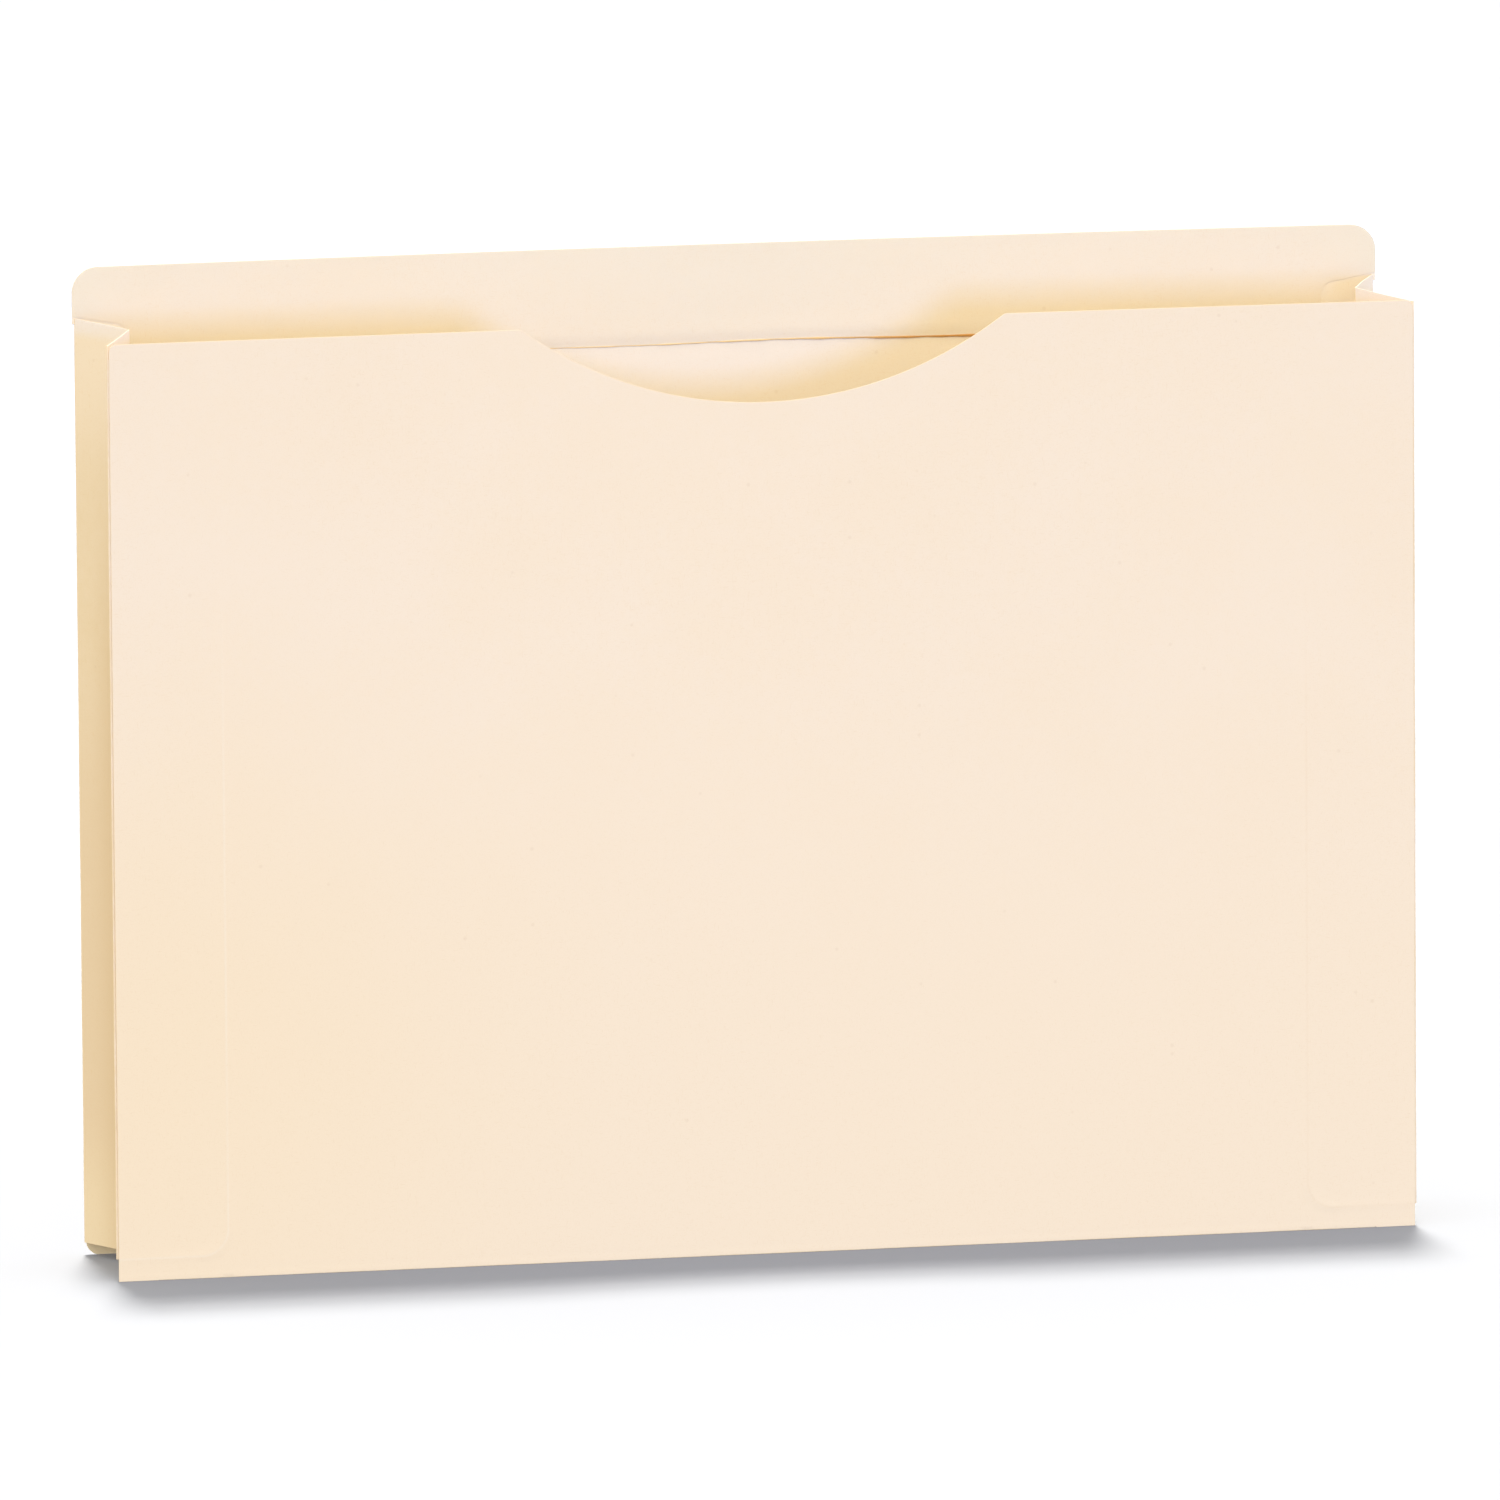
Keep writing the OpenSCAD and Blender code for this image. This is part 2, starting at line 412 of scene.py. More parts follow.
def tone(red, green, blue):
    """A paint chip in screen values, as linear light."""
    def linear(value):
        value /= 255
        return value / 12.92 if value <= 0.04045 else ((value + 0.055) / 1.055) ** 2.4
    return (linear(red), linear(green), linear(blue), 1.0)


def add_node(tree, kind, **settings):
    """A new node with its settings."""
    node = tree.nodes.new(kind)
    for name, value in settings.items():
        setattr(node, name, value)
    return node


def feed(tree, socket, value):
    """Give a socket a fixed value, or link it to an output."""
    if isinstance(value, (int, float, tuple)):
        socket.default_value = value
    else:
        tree.links.new(value, socket)


def new_group(name, inputs, outputs):
    """A new shader group, with its input and its output node."""
    group = bpy.data.node_groups.new(name, "ShaderNodeTree")
    for label, kind, value in inputs:
        socket = group.interface.new_socket(label, in_out="INPUT", socket_type=kind)
        if value is not None:
            socket.default_value = value
    for label, kind in outputs:
        group.interface.new_socket(label, in_out="OUTPUT", socket_type=kind)
    return group, group.nodes.new("NodeGroupInput"), group.nodes.new("NodeGroupOutput")


def new_material(name):
    """A new material, with its tree, its shader and the place on the piece."""
    material = bpy.data.materials.new(name)
    material.use_nodes = True
    tree = material.node_tree
    place = add_node(tree, "ShaderNodeTexCoord").outputs["Object"]
    return material, tree, tree.nodes["Principled BSDF"], place


def axes(tree, vector):
    """The X, Y and Z of a vector."""
    split = add_node(tree, "ShaderNodeSeparateXYZ")
    tree.links.new(vector, split.inputs[0])
    return split.outputs


def noise(tree, vector, scale, detail, roughness=0.5):
    """Cloudy noise between 0 and 1."""
    node = add_node(tree, "ShaderNodeTexNoise")
    node.inputs["Scale"].default_value = scale
    node.inputs["Detail"].default_value = detail
    node.inputs["Roughness"].default_value = roughness
    tree.links.new(vector, node.inputs["Vector"])
    return node.outputs["Fac"]


def math_node(tree, operation, first, second=0):
    """What an operation makes of one or two values."""
    node = add_node(tree, "ShaderNodeMath", operation=operation)
    feed(tree, node.inputs[0], first)
    feed(tree, node.inputs[1], second)
    return node.outputs[0]


def remap(tree, value, from_low, from_high, to_low=0.0, to_high=1.0, kind="SMOOTHSTEP"):
    """A value brought from one range into another, and kept within it."""
    node = add_node(tree, "ShaderNodeMapRange", interpolation_type=kind)
    for label, number in (
        ("From Min", from_low), ("From Max", from_high), ("To Min", to_low), ("To Max", to_high)
    ):
        node.inputs[label].default_value = number
    tree.links.new(value, node.inputs["Value"])
    return node.outputs["Result"]


def mix_colour(tree, factor, first, second):
    """The first colour at a factor of 0, the second at 1."""
    node = add_node(tree, "ShaderNodeMix", data_type="RGBA")
    for number, value in ((0, factor), (6, first), (7, second)):
        feed(tree, node.inputs[number], value)
    return node.outputs[2]


def board_fibres():
    """Cloudy formation, short fibres and specks of pressed manila pulp."""
    group, given, result = new_group(
        "board_fibres",
        [("Vector", "NodeSocketVector", None), ("Speck Share", "NodeSocketFloat", 0.12)],
        [("Clouds", "NodeSocketFloat"), ("Fibres", "NodeSocketFloat"),
         ("Specks", "NodeSocketFloat"), ("Tooth", "NodeSocketFloat")],
    )
    place = given.outputs["Vector"]
    wide = noise(group, place, CLOUD_SCALES[0], 3)
    close = noise(group, place, CLOUD_SCALES[1], 3, 0.6)
    clouds = math_node(
        group, "ADD", math_node(group, "MULTIPLY", wide, CLOUD_SHARES[0]),
        math_node(group, "MULTIPLY", close, CLOUD_SHARES[1]),
    )
    group.links.new(clouds, result.inputs["Clouds"])

    strands = []
    for turn, stretch in FIBRE_RUNS:
        turned = add_node(group, "ShaderNodeMapping")
        turned.inputs["Rotation"].default_value = (0.0, turn, 0.0)
        turned.inputs["Scale"].default_value = stretch
        group.links.new(place, turned.inputs["Vector"])
        strands.append(noise(group, turned.outputs["Vector"], 1.0, 1))
    woven = math_node(group, "MAXIMUM", math_node(group, "MAXIMUM", *strands[:2]), strands[2])
    group.links.new(remap(group, woven, *FIBRE_LEVELS), result.inputs["Fibres"])

    cells = add_node(group, "ShaderNodeTexVoronoi", feature="F1")
    cells.inputs["Scale"].default_value = SPECK_SCALE
    group.links.new(place, cells.inputs["Vector"])
    near = remap(group, cells.outputs["Distance"], *SPECK_LEVELS)
    split = add_node(group, "ShaderNodeSeparateColor")
    group.links.new(cells.outputs["Color"], split.inputs["Color"])
    chosen = math_node(group, "LESS_THAN", split.outputs["Red"], given.outputs["Speck Share"])
    group.links.new(math_node(group, "MULTIPLY", near, chosen), result.inputs["Specks"])

    group.links.new(noise(group, place, TOOTH_SCALE, 4, 0.65), result.inputs["Tooth"])
    return group


FIBRES = board_fibres()


def flap_edge_light_and_shade_mask(tree, place):
    """How strongly the painted highlight or painted shade on a glue flap's pressed edge shows, and
    1 for the right flap, whose edge gets the painted shade.
    """
    along = axes(tree, place)
    x, z = along["X"], along["Z"]
    beside = math_node(tree, "SUBTRACT", FLAP_LOW.x + FLAP_CORNER, math_node(tree, "ABSOLUTE", x))
    below = math_node(tree, "SUBTRACT", FLAP_LOW.z + FLAP_CORNER, z)
    above = math_node(tree, "SUBTRACT", z, FLAP_HIGH.z - FLAP_CORNER)
    beyond = math_node(tree, "MAXIMUM", below, above)
    squares = [
        math_node(tree, "POWER", math_node(tree, "MAXIMUM", distance, 0), 2)
        for distance in (beside, beyond)
    ]
    corner = math_node(tree, "SQRT", math_node(tree, "ADD", *squares))
    inner = math_node(tree, "MINIMUM", math_node(tree, "MAXIMUM", beside, beyond), 0)
    outside = math_node(tree, "SUBTRACT", math_node(tree, "ADD", corner, inner), FLAP_CORNER)
    near = remap(tree, math_node(tree, "ABSOLUTE", outside), FLAP_LINE_WIDTH, 0.0)
    glued = remap(tree, z, *FLAP_LINE_FADE, 0.0, FLAP_LINE_STRENGTH)
    return math_node(tree, "MULTIPLY", near, glued), math_node(tree, "GREATER_THAN", x, 0)


def manila(name, pale, warm, specks=0.10, rough=0.62, tooth=0.10,
           patch=None, heights=(), valley=None, inside=None, flap_edge_light_and_shade=None):
    """Manila board: pale pulp with warmer clouds, fibres, specks and a dull calendered face.

    A patch is a soft round stain; heights give shades that come in between two heights,
    a valley is painted shade along the inward fold of a gusset, inside is painted light,
    a paler shade for a face that looks to the front from within the pocket, and the
    flap-edge pair gives the painted highlight of the left and the painted shade of the
    right line where the edge of a glue flap presses through.
    """
    material, tree, shader, place = new_material(name)
    fibres = add_node(tree, "ShaderNodeGroup", node_tree=FIBRES)
    fibres.inputs["Speck Share"].default_value = specks
    tree.links.new(place, fibres.inputs["Vector"])
    clouds = fibres.outputs["Clouds"]

    colour = mix_colour(tree, remap(tree, clouds, *CLOUD_LEVELS), tone(*pale), tone(*warm))
    # Painted light: faces that look to the front from within the pocket are made paler
    if inside is not None:
        facing = axes(tree, add_node(tree, "ShaderNodeTexCoord").outputs["Normal"])["Y"]
        colour = mix_colour(tree, remap(tree, facing, *INNER_FACE), colour, tone(*inside))
    if heights:
        along = axes(tree, place)
        for start, stop, shade in heights:
            soft = remap(tree, along["Z"], start, stop)
            colour = mix_colour(tree, soft, colour, tone(*shade))
    # Painted shade along the inward fold of a gusset, fading out towards the top
    if valley is not None:
        along = axes(tree, place)
        soft = remap(tree, math_node(tree, "ABSOLUTE", along["Y"]), VALLEY_REACH, 0.0)
        soft = math_node(tree, "MULTIPLY", soft, remap(tree, along["Z"], *VALLEY_FADE))
        colour = mix_colour(tree, soft, colour, tone(*valley))
    if patch is not None:
        centre, reach, shade = patch
        away = add_node(tree, "ShaderNodeVectorMath", operation="DISTANCE")
        away.inputs[1].default_value = centre
        tree.links.new(place, away.inputs[0])
        soft = remap(tree, away.outputs["Value"], reach, 0.0)
        colour = mix_colour(tree, soft, colour, tone(*shade))
    # Painted highlight along the left flap edge, painted shade along the right one
    if flap_edge_light_and_shade is not None:
        edge, side = flap_edge_light_and_shade_mask(tree, place)
        shade = mix_colour(tree, side, tone(*flap_edge_light_and_shade[0]), tone(*flap_edge_light_and_shade[1]))
        uneven = math_node(tree, "MULTIPLY", edge, remap(tree, clouds, *LINE_BREAKS))
        colour = mix_colour(tree, uneven, colour, shade)
    strand = math_node(tree, "MULTIPLY", fibres.outputs["Fibres"], FIBRE_SHARE)
    colour = mix_colour(tree, strand, colour, tone(*FIBRE_SHADE))
    speck = math_node(tree, "MULTIPLY", fibres.outputs["Specks"], SPECK_SHARE)
    colour = mix_colour(tree, speck, colour, tone(*SPECK_SHADE))
    tree.links.new(colour, shader.inputs["Base Color"])

    spread = (rough + step for step in ROUGH_SPREAD)
    dull = remap(tree, clouds, *ROUGH_LEVELS, *spread, "LINEAR")
    tree.links.new(dull, shader.inputs["Roughness"])
    bump = add_node(tree, "ShaderNodeBump")
    bump.inputs["Strength"].default_value = tooth
    bump.inputs["Distance"].default_value = TOOTH_DEPTH
    tree.links.new(fibres.outputs["Tooth"], bump.inputs["Height"])
    tree.links.new(bump.outputs["Normal"], shader.inputs["Normal"])
    shader.inputs["Specular IOR Level"].default_value = BOARD_SPECULAR
    return material


def dried_glue(name, pale, dark, painted_shadow_run=None):
    """A thin yellowed film with brush streaks; where given, a painted shadow darkens it along its
    run.
    """
    material, tree, shader, place = new_material(name)
    drawn = add_node(tree, "ShaderNodeMapping")
    drawn.inputs["Scale"].default_value = GLUE_STREAKS
    tree.links.new(place, drawn.inputs["Vector"])
    streaks = noise(tree, drawn.outputs["Vector"], 1.0, 3)
    colour = mix_colour(tree, streaks, tone(*pale), tone(*dark))
    # Painted shadow: darker along X, towards the right end
    if painted_shadow_run is not None:
        start, stop, shade = painted_shadow_run
        thick = remap(tree, axes(tree, place)["X"], start, stop)
        colour = mix_colour(tree, thick, colour, tone(*shade))
    tree.links.new(colour, shader.inputs["Base Color"])
    shine = remap(tree, streaks, *ROUGH_LEVELS, *GLUE_ROUGH, "LINEAR")
    tree.links.new(shine, shader.inputs["Roughness"])
    return material


FACE = manila(
    "manila_front", (249, 232, 213), (249, 231, 210), specks=0.05,
    patch=((-142 * MM, -20 * MM, 45 * MM), 120 * MM, (249, 229, 201)),
    heights=((150 * MM, 30 * MM, (249, 231, 209)),),
    # painted highlight on the left flap edge, painted shade on the right one
    flap_edge_light_and_shade=((253, 240, 224), (244, 223, 198)),
)
# The back's inner face is painted paler, as light within the pocket
BACK = manila(
    "manila_back", (249, 232, 213), (249, 231, 210), specks=0.05, inside=(248, 238, 224)
)
PLY = manila("manila_ply", (244, 233, 217), (244, 232, 214), specks=0.05)
GUSSET = manila(
    # valley: painted shade along the inward fold
    "manila_gusset", (245, 230, 214), (242, 226, 206), specks=0.12, valley=(223, 200, 170),
    # Painted shade darkening from 150 mm down, lighter again near the foot, and painted light
    # towards the top and on the top edge
    heights=(
        (150 * MM, 85 * MM, (239, 221, 202)), (35 * MM, 10 * MM, (246, 231, 212)),
        (165 * MM, 205 * MM, (251, 238, 229)), (206 * MM, 209 * MM, (251, 243, 247)),
    ),
)
FOLD = manila("manila_fold", (249, 232, 213), (243, 221, 188), rough=0.7, tooth=0.25)
BOTTOM = manila("manila_bottom", (247, 228, 203), (244, 223, 194))
GLUE = dried_glue("dried_glue", (238, 226, 192), (221, 201, 152))
# Tan glue bead that also stands for the shadow line under the ply's edge, painted darker brown as
# shadow towards the right
GLUE_BEAD_AND_SHADOW = dried_glue(
    "glue_bead_and_shadow", (252, 226, 172), (246, 214, 152), painted_shadow_run=(4 * MM, 52 * MM, (206, 150, 80))
)


# Pieces of the jacket

def make_back():
    """Back with its full width label tab."""
    low = Vector((-CREASE_X + LAP, BACK_LOW.y, BACK_LOW.z - LAP))
    piece = blank("back_panel_paper", low, (-low.x, BACK_HIGH.y, BACK_HIGH.z - TAB_CORNER))
    round_corners(piece, lambda p: p.z < low.z + NEAR, BACK_FOOT_CORNER, 8)
    tab = blank("tab_blank", (BACK_LOW.x, BACK_LOW.y, FRONT_TOP), BACK_HIGH)
    round_corners(
        tab, lambda p: p.z > BACK_HIGH.z - NEAR and abs(p.x) > CREASE_X, TAB_CORNER, 14
    )
    shape_with(piece, tab, "UNION")
    soften_cut_edges(piece)
    grid(
        piece, BACK_LOW, BACK_HIGH, 6 * MM, 7 * MM,
        columns=mirrored([BOTTOM_END, BOTTOM_END + FOOT_DROP_RUN]),
        rows=[BACK_LOW.z + FOOT_DROP_ROW],
    )
    bend(piece, lambda p: (0, back_bow(p), foot_drop(p, BACK_LOW.z)))
    finish_piece(piece, "back_panel", BACK)


def notch_die(side):
    """A die for the notch at one end of the ply, with a rounded inner corner and a sloping top."""
    inner = side * (CREASE_HIGH_X - PLY_NOTCH)
    outer = side * (PLY_HIGH.x + PLY_NOTCH)
    die = blank(
        "notch_die", (min(inner, outer), PLY_LOW.y - BOARD, PLY_LOW.z - PLY_NOTCH),
        (max(inner, outer), PLY_HIGH.y + BOARD, FRONT_TOP),
    )
    round_corners(
        die, lambda p: abs(p.x - inner) < NEAR and abs(p.z - FRONT_TOP) < NEAR, PLY_NOTCH_CORNER, 8
    )
    rise = PLY_NOTCH_RISE * abs(outer - inner) / PLY_NOTCH
    raise_points(die, [(lambda p: abs(p.x - outer) < NEAR and p.z > FRONT_TOP - NEAR, rise)])
    return die


def make_tab_ply():
    """Second ply of the tab, notched at both ends; its cut lower edge stands off a little."""
    piece = blank("tab_ply_paper", (PLY_LOW.x, PLY_LOW.y, PLY_FOOT), PLY_HIGH)
    round_corners(piece, lambda p: p.z > PLY_HIGH.z - NEAR, TAB_CORNER, 14)
    for side in (-1, 1):
        shape_with(piece, notch_die(side), "DIFFERENCE")
    soften_cut_edges(piece)
    divide(piece, (1, 0, 0), spaced(PLY_LOW.x, PLY_HIGH.x, 3 * MM))
    edge_rows = [PLY_FOOT + d * MM for d in (0.35, 0.7)]
    divide(piece, (0, 0, 1), edge_rows + spaced(PLY_FOOT, PLY_FOOT + PLY_EDGE_ZONE, 1 * MM)
           + spaced(PLY_FOOT + PLY_EDGE_ZONE, PLY_HIGH.z, 2 * MM))

    def shift(p):
        near = ease(1 - (p.z - PLY_FOOT) / PLY_EDGE_ZONE)
        lift = PLY_EDGE_LIFT * (PLY_EDGE_LIFT_LEVEL + waves(p.x, PLY_EDGE_LIFT_WAVES))
        in_front = p.y < PLY_LOW.y + BOARD / 2
        pressed = ease(1 - ply_edge_distance(p) / PLY_PRESS_WIDTH) if in_front else 0
        away = back_bow(p) - lift * near + PLY_EDGE_PRESS * pressed
        return (0, away, ply_edge_wave(p.x) * near)

    bend(piece, shift)
    finish_piece(piece, "tab_ply", PLY)


def make_tab_glue():
    """Glue film between the two plies of the tab."""
    low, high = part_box("tab_adhesive")
    low.z += PLY_FOOT_RISE
    piece = blank("tab_adhesive_film", low, high)
    grid(piece, low, high, 6 * MM, 5 * MM)
    bend(piece, lambda p: (0, back_bow(p), 0))
    finish_piece(piece, "tab_adhesive", GLUE)


def make_glue_bead_and_shadow_line():
    """Dried glue pressed out along the lower edge of the ply, also standing for the shadow line
    under that edge.
    """
    piece = rod(
        "tab_glue_bead_and_shadow_line", (0, BACK_LOW.y, PLY_FOOT), GLUE_BEAD_THICK, 2 * GLUE_BEAD_END,
        (0, math.pi / 2, 0), 10,
    )
    divide(piece, (1, 0, 0), spaced(-GLUE_BEAD_END, GLUE_BEAD_END, 1.6 * MM))

    def shift(p):
        spoke = Vector((0, p.y - BACK_LOW.y, p.z - PLY_FOOT))
        start, stop = GLUE_BEAD_GROWS
        grown = ease((p.x - start) / (stop - start))
        radius = GLUE_BEAD_THIN + (GLUE_BEAD_THICK - GLUE_BEAD_THIN) * grown
        radius *= 1 + waves(p.x, GLUE_BEAD_LUMPS)
        scale = radius / GLUE_BEAD_THICK * ease((GLUE_BEAD_END - abs(p.x)) / GLUE_BEAD_TAPER)
        away = back_bow(p) - GLUE_BEAD_OUT * radius
        return spoke * (scale - 1) + Vector((0, away, ply_edge_wave(p.x) - GLUE_BEAD_DOWN * radius))

    bend(piece, shift)
    only(piece)
    bpy.ops.object.shade_smooth_by_angle(angle=SMOOTH_ANGLE)
    piece.data.materials.append(GLUE_BEAD_AND_SHADOW)
    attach(piece, BODY_OF["tab_ply"])


def make_front():
    """Front with its thumb cut; the glue flaps behind it show as faint ridges."""
    low = Vector((FRONT_LOW.x, FRONT_LOW.y, FRONT_LOW.z - LAP))
    piece = blank("front_panel_paper", low, FRONT_HIGH)
    radius = ((THUMB_WIDTH / 2) ** 2 + THUMB_DEPTH ** 2) / (2 * THUMB_DEPTH)
    centre = (0, FRONT_LOW.y, FRONT_TOP - THUMB_DEPTH + radius)
    die = rod("thumb_die", centre, radius, 10 * BOARD, (math.pi / 2, 0, 0), 360)
    shape_with(piece, die, "DIFFERENCE")
    round_corners(
        piece, lambda p: p.z > FRONT_TOP - NEAR and abs(p.x) < THUMB_WIDTH, THUMB_SHOULDER, 5
    )
    round_corners(
        piece, lambda p: p.z > FRONT_TOP - NEAR and abs(p.x) > THUMB_WIDTH, FRONT_CORNER, 5
    )
    soften_cut_edges(piece)
    ridge = [FLAP_LOW.x + d * MM for d in mirrored((0.0, 0.25, 0.6, 1.0, 1.5, 2.2))]
    corner = spaced(FLAP_LOW.x + 2.6 * MM, FLAP_LOW.x + 8 * MM, 0.9 * MM)
    foot = [FLAP_LOW.z + d * MM for d in (-1.9, -1.4, -0.9, -0.5, 0.0, 0.5, 0.9, 1.4, 2.2)]
    foot += spaced(FLAP_LOW.z + 2.6 * MM, FLAP_LOW.z + 8 * MM, 0.9 * MM)
    top = [FLAP_HIGH.z - d * MM for d in (-1.4, -0.8, 0.0, 0.8, 1.4, 2.2)]
    score = [SCORE_HEIGHT + d * SCORE_WIDTH for d in mirrored((0, 0.6, 1.2, 1.8))]
    grid(
        piece, FRONT_LOW, FRONT_HIGH, 6 * MM, 6 * MM,
        columns=mirrored(ridge + corner + [BOTTOM_END, BOTTOM_END + FOOT_DROP_RUN]),
        rows=foot + top + score,
    )

    def shift(p):
        outside = p.y < FRONT_LOW.y + BOARD / 2
        relief = flap_relief(p) + score_relief(p) if outside else 0
        return (0, front_bow(p) - relief, foot_drop(p, FRONT_LOW.z))

    bend(piece, shift)
    finish_piece(piece, "front_panel", FACE)


def make_flap(side):
    """Glue flap inside the front, on one side."""
    low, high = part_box(f"{side}_glue_flap")
    outer = (CREASE_X - LAP) * (-1 if side == "left" else 1)
    piece = blank(
        f"{side}_glue_flap_paper",
        (min(low.x, outer), low.y, low.z), (max(high.x, outer), high.y, high.z),
    )
    round_corners(piece, lambda p: abs(p.x) < FLAP_LOW.x + NEAR, FLAP_CORNER, 12)
    soften_cut_edges(piece)
    grid(piece, low, high, 5 * MM, 6 * MM)
    bend(piece, lambda p: (0, front_bow(p), 0))
    finish_piece(piece, f"{side}_glue_flap", GUSSET)


def make_flap_glue(side):
    """Glue film between a flap and the front."""
    low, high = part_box(f"{side}_flap_adhesive")
    piece = blank(f"{side}_flap_adhesive_film", low, high)
    grid(piece, low, high, 5 * MM, 6 * MM)
    bend(piece, lambda p: (0, front_bow(p), 0))
    finish_piece(piece, f"{side}_flap_adhesive", GLUE)


def fold_line(node):
    """The axis of an upright fold, and the heights of its two ends."""
    low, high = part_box(node)
    return Vector(((low.x + high.x) / 2, (low.y + high.y) / 2)), low.z, high.z


def make_gusset_half(side, end):
    """One half of a bellows gusset, from the fold at a panel to the centre fold."""
    node = f"{side}_gusset_{end}"
    panel, panel_foot, top = fold_line(f"{side}_{end}_crease")
    centre, centre_foot, _ = fold_line(f"{side}_centre_crease")
    run = centre - panel
    hand = 1 if (side == "left") == (end == "back") else -1
    lean = math.asin(BOARD / run.length) * hand
    turn = math.atan2(run.y, run.x) + lean
    along = Vector((math.cos(turn), math.sin(turn), 0))
    inward = Vector((-along.y, along.x, 0)) * hand
    length = run.length * math.cos(lean) - 2 * LAP
    middle = (panel + centre) / 2
    foot = min(panel_foot, centre_foot)
    middle_z = (foot + top) / 2
    middle_run = Vector((middle.x, middle.y, 0)).dot(along)
    start = middle_run - length / 2

    def corner(at_panel, at_foot):
        """A test for the points at one corner of the blank."""
        return lambda p: (p.dot(along) < middle_run) == at_panel and (p.z < middle_z) == at_foot

    piece = sheet(
        f"{node}_paper", (middle.x, middle.y, middle_z), (length, BOARD, top - foot), turn
    )
    raise_points(piece, [
        (corner(True, True), panel_foot - foot + GUSSET_FOOT_RISE[end]),
        (corner(True, False), GUSSET_TOP_RISE[end]),
        (corner(False, True), centre_foot - foot + GUSSET_FOOT_RISE["centre"]),
        (corner(False, False), GUSSET_TOP_RISE["centre"]),
    ])
    soften_cut_edges(piece)
    divide(piece, along, spaced(start, start + length, 2 * MM))
    divide(piece, (0, 0, 1), spaced(foot, top, 6 * MM))

    def shift(p):
        across = math.sin(math.pi * min(max((p.dot(along) - start) / length, 0), 1))
        return inward * (GUSSET_HOLLOW * across * (1 + waves(p.z, GUSSET_SWAY[side])))

    bend(piece, shift)
    finish_piece(piece, node, GUSSET)


def make_bottom_half(end):
    """One half of the bottom, from its score at a panel to the bottom fold."""
    node = f"bottom_{end}_panel"
    low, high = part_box(node)
    low.y -= LAP
    high.y += LAP
    piece = blank(f"{node}_paper", low, high)
    soften_cut_edges(piece)
    divide(piece, (1, 0, 0), spaced(low.x, high.x, 8 * MM))
    divide(piece, (0, 1, 0), spaced(low.y, high.y, 4 * MM))
    finish_piece(piece, node, BOTTOM)


def make_fold(node, foot_rise=0, top_rise=0):
    """A pressed fold: a bead of board with a slightly crushed, uneven run."""
    low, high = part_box(node)
    low.z += foot_rise
    high.z += top_rise
    size = high - low
    middle = (low + high) / 2
    lengthwise = max(range(3), key=lambda i: size[i])
    turn = (0, math.pi / 2, 0) if lengthwise == 0 else (0, 0, 0)
    piece = rod(f"{node}_fold", middle, min(size) / 2, size[lengthwise], turn, 20)
    soften_cut_edges(piece)
    direction = Vector([1 if i == lengthwise else 0 for i in range(3)])
    divide(piece, direction, spaced(low[lengthwise], high[lengthwise], 5 * MM))

    def shift(p):
        spoke = p - middle
        spoke[lengthwise] = 0
        return spoke * (waves(p[lengthwise], FOLD_CRUSH) - FOLD_WEAR)

    bend(piece, shift)
    finish_piece(piece, node, FOLD)


make_back()
make_tab_ply()
make_tab_glue()
make_glue_bead_and_shadow_line()
make_front()
for side_name in SIDES:
    make_flap(side_name)
    make_flap_glue(side_name)
    for end_name in ENDS:
        make_gusset_half(side_name, end_name)
    for fold_name in FOLDS:
        make_fold(
            f"{side_name}_{fold_name}_crease",
            GUSSET_FOOT_RISE[fold_name], GUSSET_TOP_RISE[fold_name],
        )
for end_name in ENDS:
    make_bottom_half(end_name)
for fold_name in FOLDS:
    make_fold(f"bottom_{fold_name}_crease")


# Floor, light and camera

WHITE = (1, 1, 1)
ROOM_LIGHT = (0.51, 1.69)
ROOM_LIGHT_RISES = (-0.1, 0.6)
ROOM_TINT = (1.0, 0.906, 0.661)
FLOOR_SIZE = 60
FLOOR_LEVEL = -0.02 * MM
FLOOR_TINT = (0.233, 0.257, 0.352, 1)
FLOOR_GLOW = 0.06
FLOOR_LIGHT = 2.6
FLOOR_LIGHT_WIDTH = math.radians(5)
FLOOR_LIGHT_LEANS = (0.13, 0.18, 0.23)
FLOOR_LIGHT_ASIDE = -0.14
KEY_PLACE = (0.26, -2.49, 0.235)
BACK_KEY_PLACE = (0, 2.5, 0.17)
KEY_AIM = (0, 0, 0.2)
KEY_SIZE = 0.5
KEY_LEVEL = 0.385
KEY_TINT = (0.19, 0.41, 1.0)
FILL_PLACE = (-2.0, -1.2, 0.6)
FILL_AIM = (0, 0, 0.1)
FILL_SIZE = 1.2
FILL_LEVEL = 0.03
CAMERA_AZIMUTH = math.radians(-12.5)
CAMERA_ELEVATION = math.radians(8.2)
CAMERA_ROLL = math.radians(-0.406)
CAMERA_TARGET = Vector((0.20, 0, 110.96)) * MM
CAMERA_DISTANCE = 5
CAMERA_REACH = 100
CAMERA_SENSOR = 36
CAMERA_LENS = 537


def seen_directly(tree):
    """1 for a ray that shows the background to the camera, in a mirror or through glass."""
    path = add_node(tree, "ShaderNodeLightPath")
    shown = math_node(tree, "MAXIMUM", path.outputs["Is Camera Ray"], path.outputs["Is Glossy Ray"])
    return math_node(tree, "MAXIMUM", shown, path.outputs["Is Transmission Ray"])


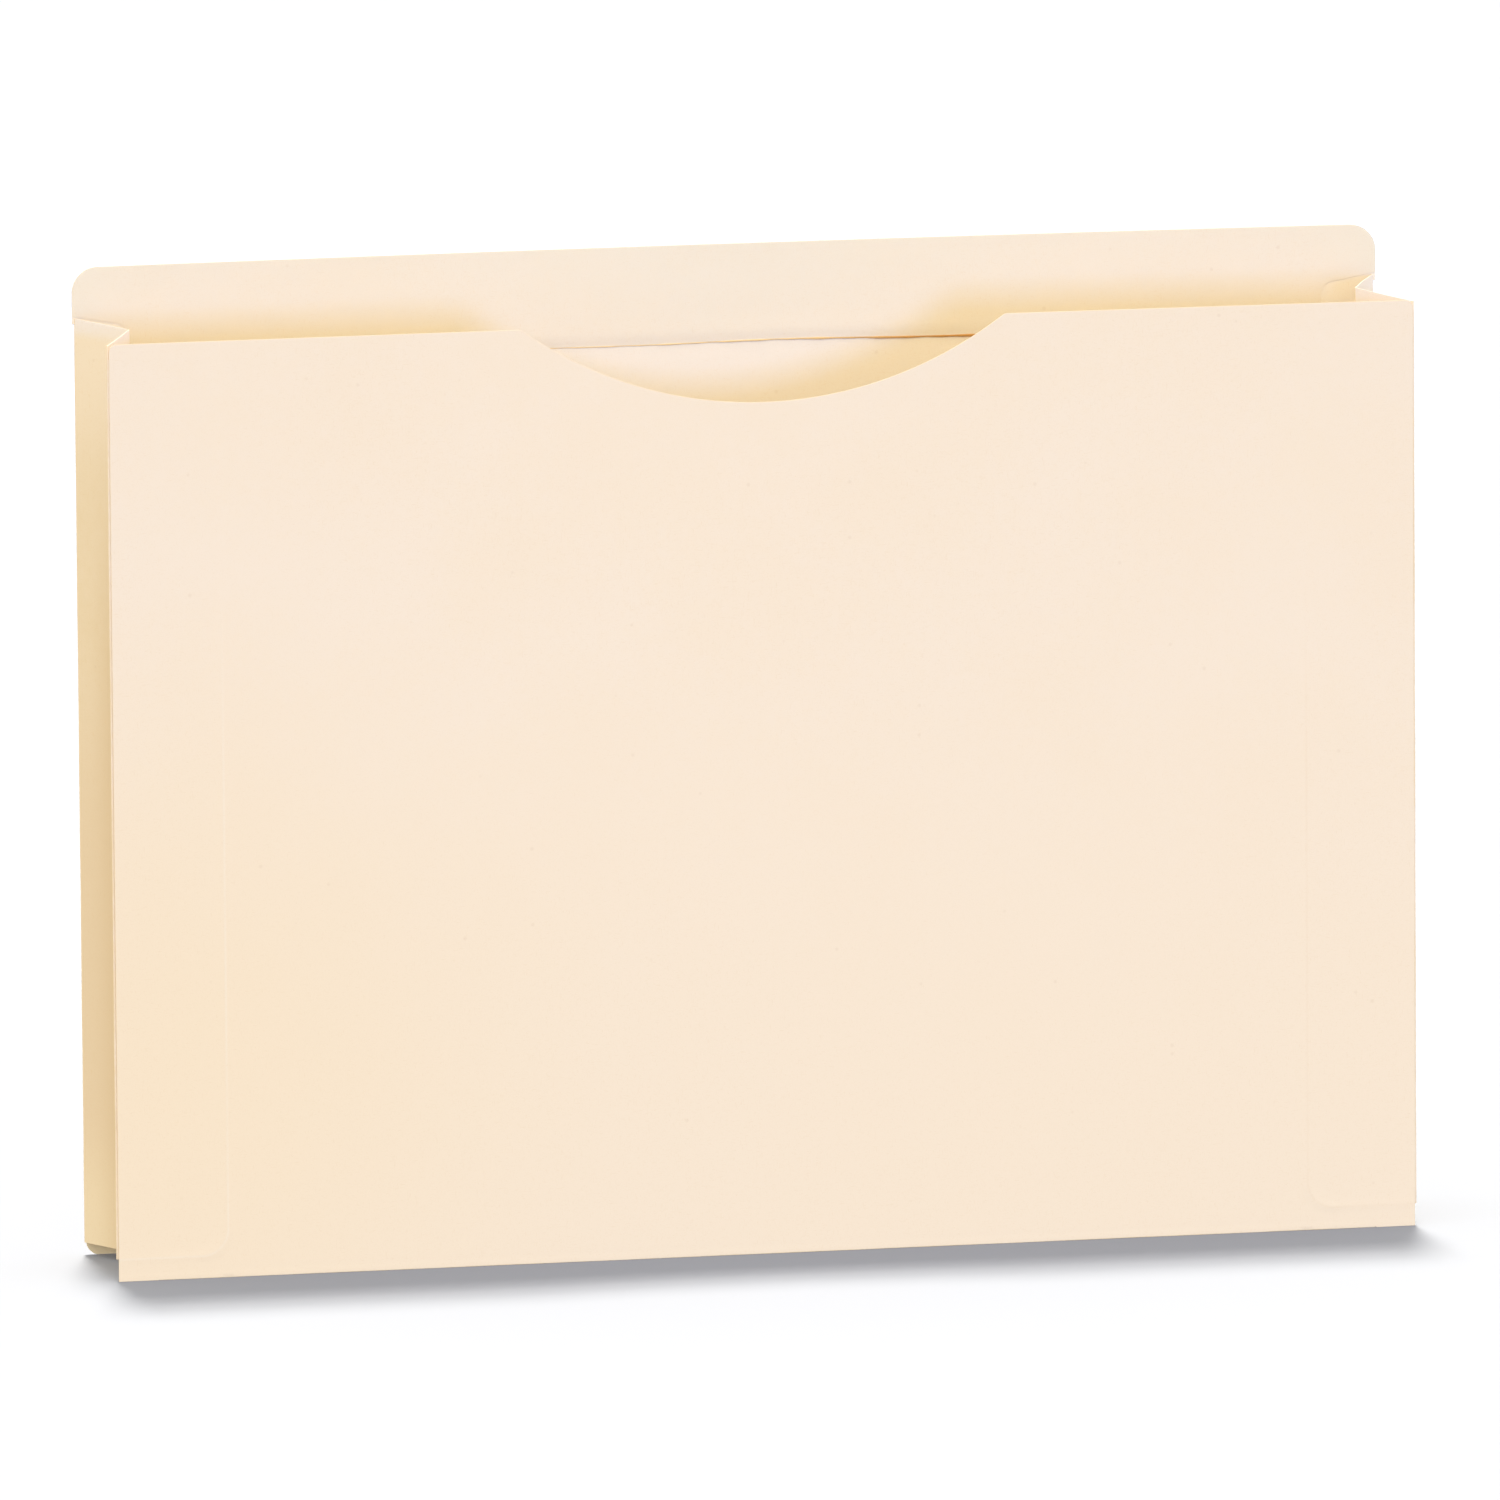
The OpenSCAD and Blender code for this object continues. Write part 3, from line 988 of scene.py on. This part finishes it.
def make_floor():
    """A wide white floor that keeps the jacket's shadow; the room's even light comes through it."""
    bpy.ops.mesh.primitive_plane_add(size=FLOOR_SIZE, location=(0, 0, FLOOR_LEVEL))
    floor = bpy.context.active_object
    floor.name = "floor"
    material = bpy.data.materials.new("white_floor")
    material.use_nodes = True
    tree = material.node_tree
    tree.nodes.remove(tree.nodes["Principled BSDF"])
    paint = add_node(tree, "ShaderNodeBsdfDiffuse")
    paint.inputs["Color"].default_value = FLOOR_TINT
    glow = add_node(tree, "ShaderNodeEmission")
    glow.inputs["Strength"].default_value = FLOOR_GLOW
    both = add_node(tree, "ShaderNodeAddShader")
    tree.links.new(paint.outputs[0], both.inputs[0])
    tree.links.new(glow.outputs[0], both.inputs[1])
    clear = add_node(tree, "ShaderNodeBsdfTransparent")
    rear = add_node(tree, "ShaderNodeNewGeometry").outputs["Backfacing"]
    facing = math_node(tree, "SUBTRACT", 1, rear)
    side = add_node(tree, "ShaderNodeMixShader")
    tree.links.new(math_node(tree, "MULTIPLY", seen_directly(tree), facing), side.inputs[0])
    tree.links.new(clear.outputs[0], side.inputs[1])
    tree.links.new(both.outputs[0], side.inputs[2])
    tree.links.new(side.outputs[0], tree.nodes["Material Output"].inputs["Surface"])
    floor.data.materials.append(material)
    return floor


def hang(lamp, direction, place=(0, 0, 0)):
    """Hang a lamp at a place so that it shines in a direction."""
    holder = bpy.data.objects.new(lamp.name, lamp)
    holder.location = place
    holder.rotation_euler = direction.to_track_quat("-Z", "Y").to_euler()
    bpy.context.scene.collection.objects.link(holder)
    return holder


def make_floor_lights(floor):
    """Lamps high up, slightly behind: they light the floor alone, and the jacket shades it."""
    lit = bpy.data.collections.new("lit_floor")
    lit.objects.link(floor)
    for number, lean in enumerate(FLOOR_LIGHT_LEANS):
        lamp = bpy.data.lights.new(f"floor_light_{number}", "SUN")
        lamp.energy = FLOOR_LIGHT * math.pi / len(FLOOR_LIGHT_LEANS)
        lamp.color = ROOM_TINT
        lamp.angle = FLOOR_LIGHT_WIDTH
        holder = hang(lamp, Vector((FLOOR_LIGHT_ASIDE * lean, -lean, -1)))
        holder.light_linking.receiver_collection = lit


def make_world():
    """Soft light from all round, stronger from above, in front of a white background."""
    world = bpy.data.worlds.new("studio")
    bpy.context.scene.world = world
    world.use_nodes = True
    tree = world.node_tree
    background = tree.nodes["Background"]
    height = axes(tree, add_node(tree, "ShaderNodeTexCoord").outputs["Generated"])["Z"]
    level = remap(tree, height, *ROOM_LIGHT_RISES, *ROOM_LIGHT)
    shown = seen_directly(tree)
    colour = mix_colour(tree, shown, (*ROOM_TINT, 1), (*WHITE, 1))
    tree.links.new(colour, background.inputs["Color"])
    strength = add_node(tree, "ShaderNodeMix", data_type="FLOAT")
    tree.links.new(shown, strength.inputs[0])
    tree.links.new(level, strength.inputs[2])
    strength.inputs[3].default_value = 1.0
    tree.links.new(strength.outputs[0], background.inputs["Strength"])


def make_lamp(name, place, aim, size, level, tint=WHITE):
    """A soft square lamp; a level of 1 lights a facing surface to its own colour."""
    throw = Vector(aim) - Vector(place)
    lamp = bpy.data.lights.new(name, "AREA")
    lamp.size = size
    lamp.color = tint
    lamp.energy = level * math.pi ** 2 * throw.length_squared
    hang(lamp, throw, place)


def make_camera():
    """The photograph's view: from the left, a little above, with a long lens."""
    back = Vector((math.sin(CAMERA_AZIMUTH) * math.cos(CAMERA_ELEVATION),
                   -math.cos(CAMERA_AZIMUTH) * math.cos(CAMERA_ELEVATION),
                   math.sin(CAMERA_ELEVATION)))
    level = Vector((math.cos(CAMERA_AZIMUTH), math.sin(CAMERA_AZIMUTH), 0))
    upright = back.cross(level)
    right = level * math.cos(CAMERA_ROLL) + upright * math.sin(CAMERA_ROLL)
    up = upright * math.cos(CAMERA_ROLL) - level * math.sin(CAMERA_ROLL)
    lens = bpy.data.cameras.new("camera")
    lens.sensor_width = CAMERA_SENSOR
    lens.lens = CAMERA_LENS
    lens.clip_end = CAMERA_REACH
    camera = bpy.data.objects.new("camera", lens)
    place = Matrix((right, up, back)).transposed().to_4x4()
    place.translation = CAMERA_TARGET + back * CAMERA_DISTANCE
    camera.matrix_world = place
    bpy.context.scene.collection.objects.link(camera)
    bpy.context.scene.camera = camera


make_floor_lights(make_floor())
make_world()
make_lamp("key", KEY_PLACE, KEY_AIM, KEY_SIZE, KEY_LEVEL, KEY_TINT)
make_lamp("fill", FILL_PLACE, FILL_AIM, FILL_SIZE, FILL_LEVEL)
make_lamp("back_key", BACK_KEY_PLACE, KEY_AIM, KEY_SIZE, KEY_LEVEL, KEY_TINT)
make_camera()
bpy.context.scene.view_settings.view_transform = "Standard"
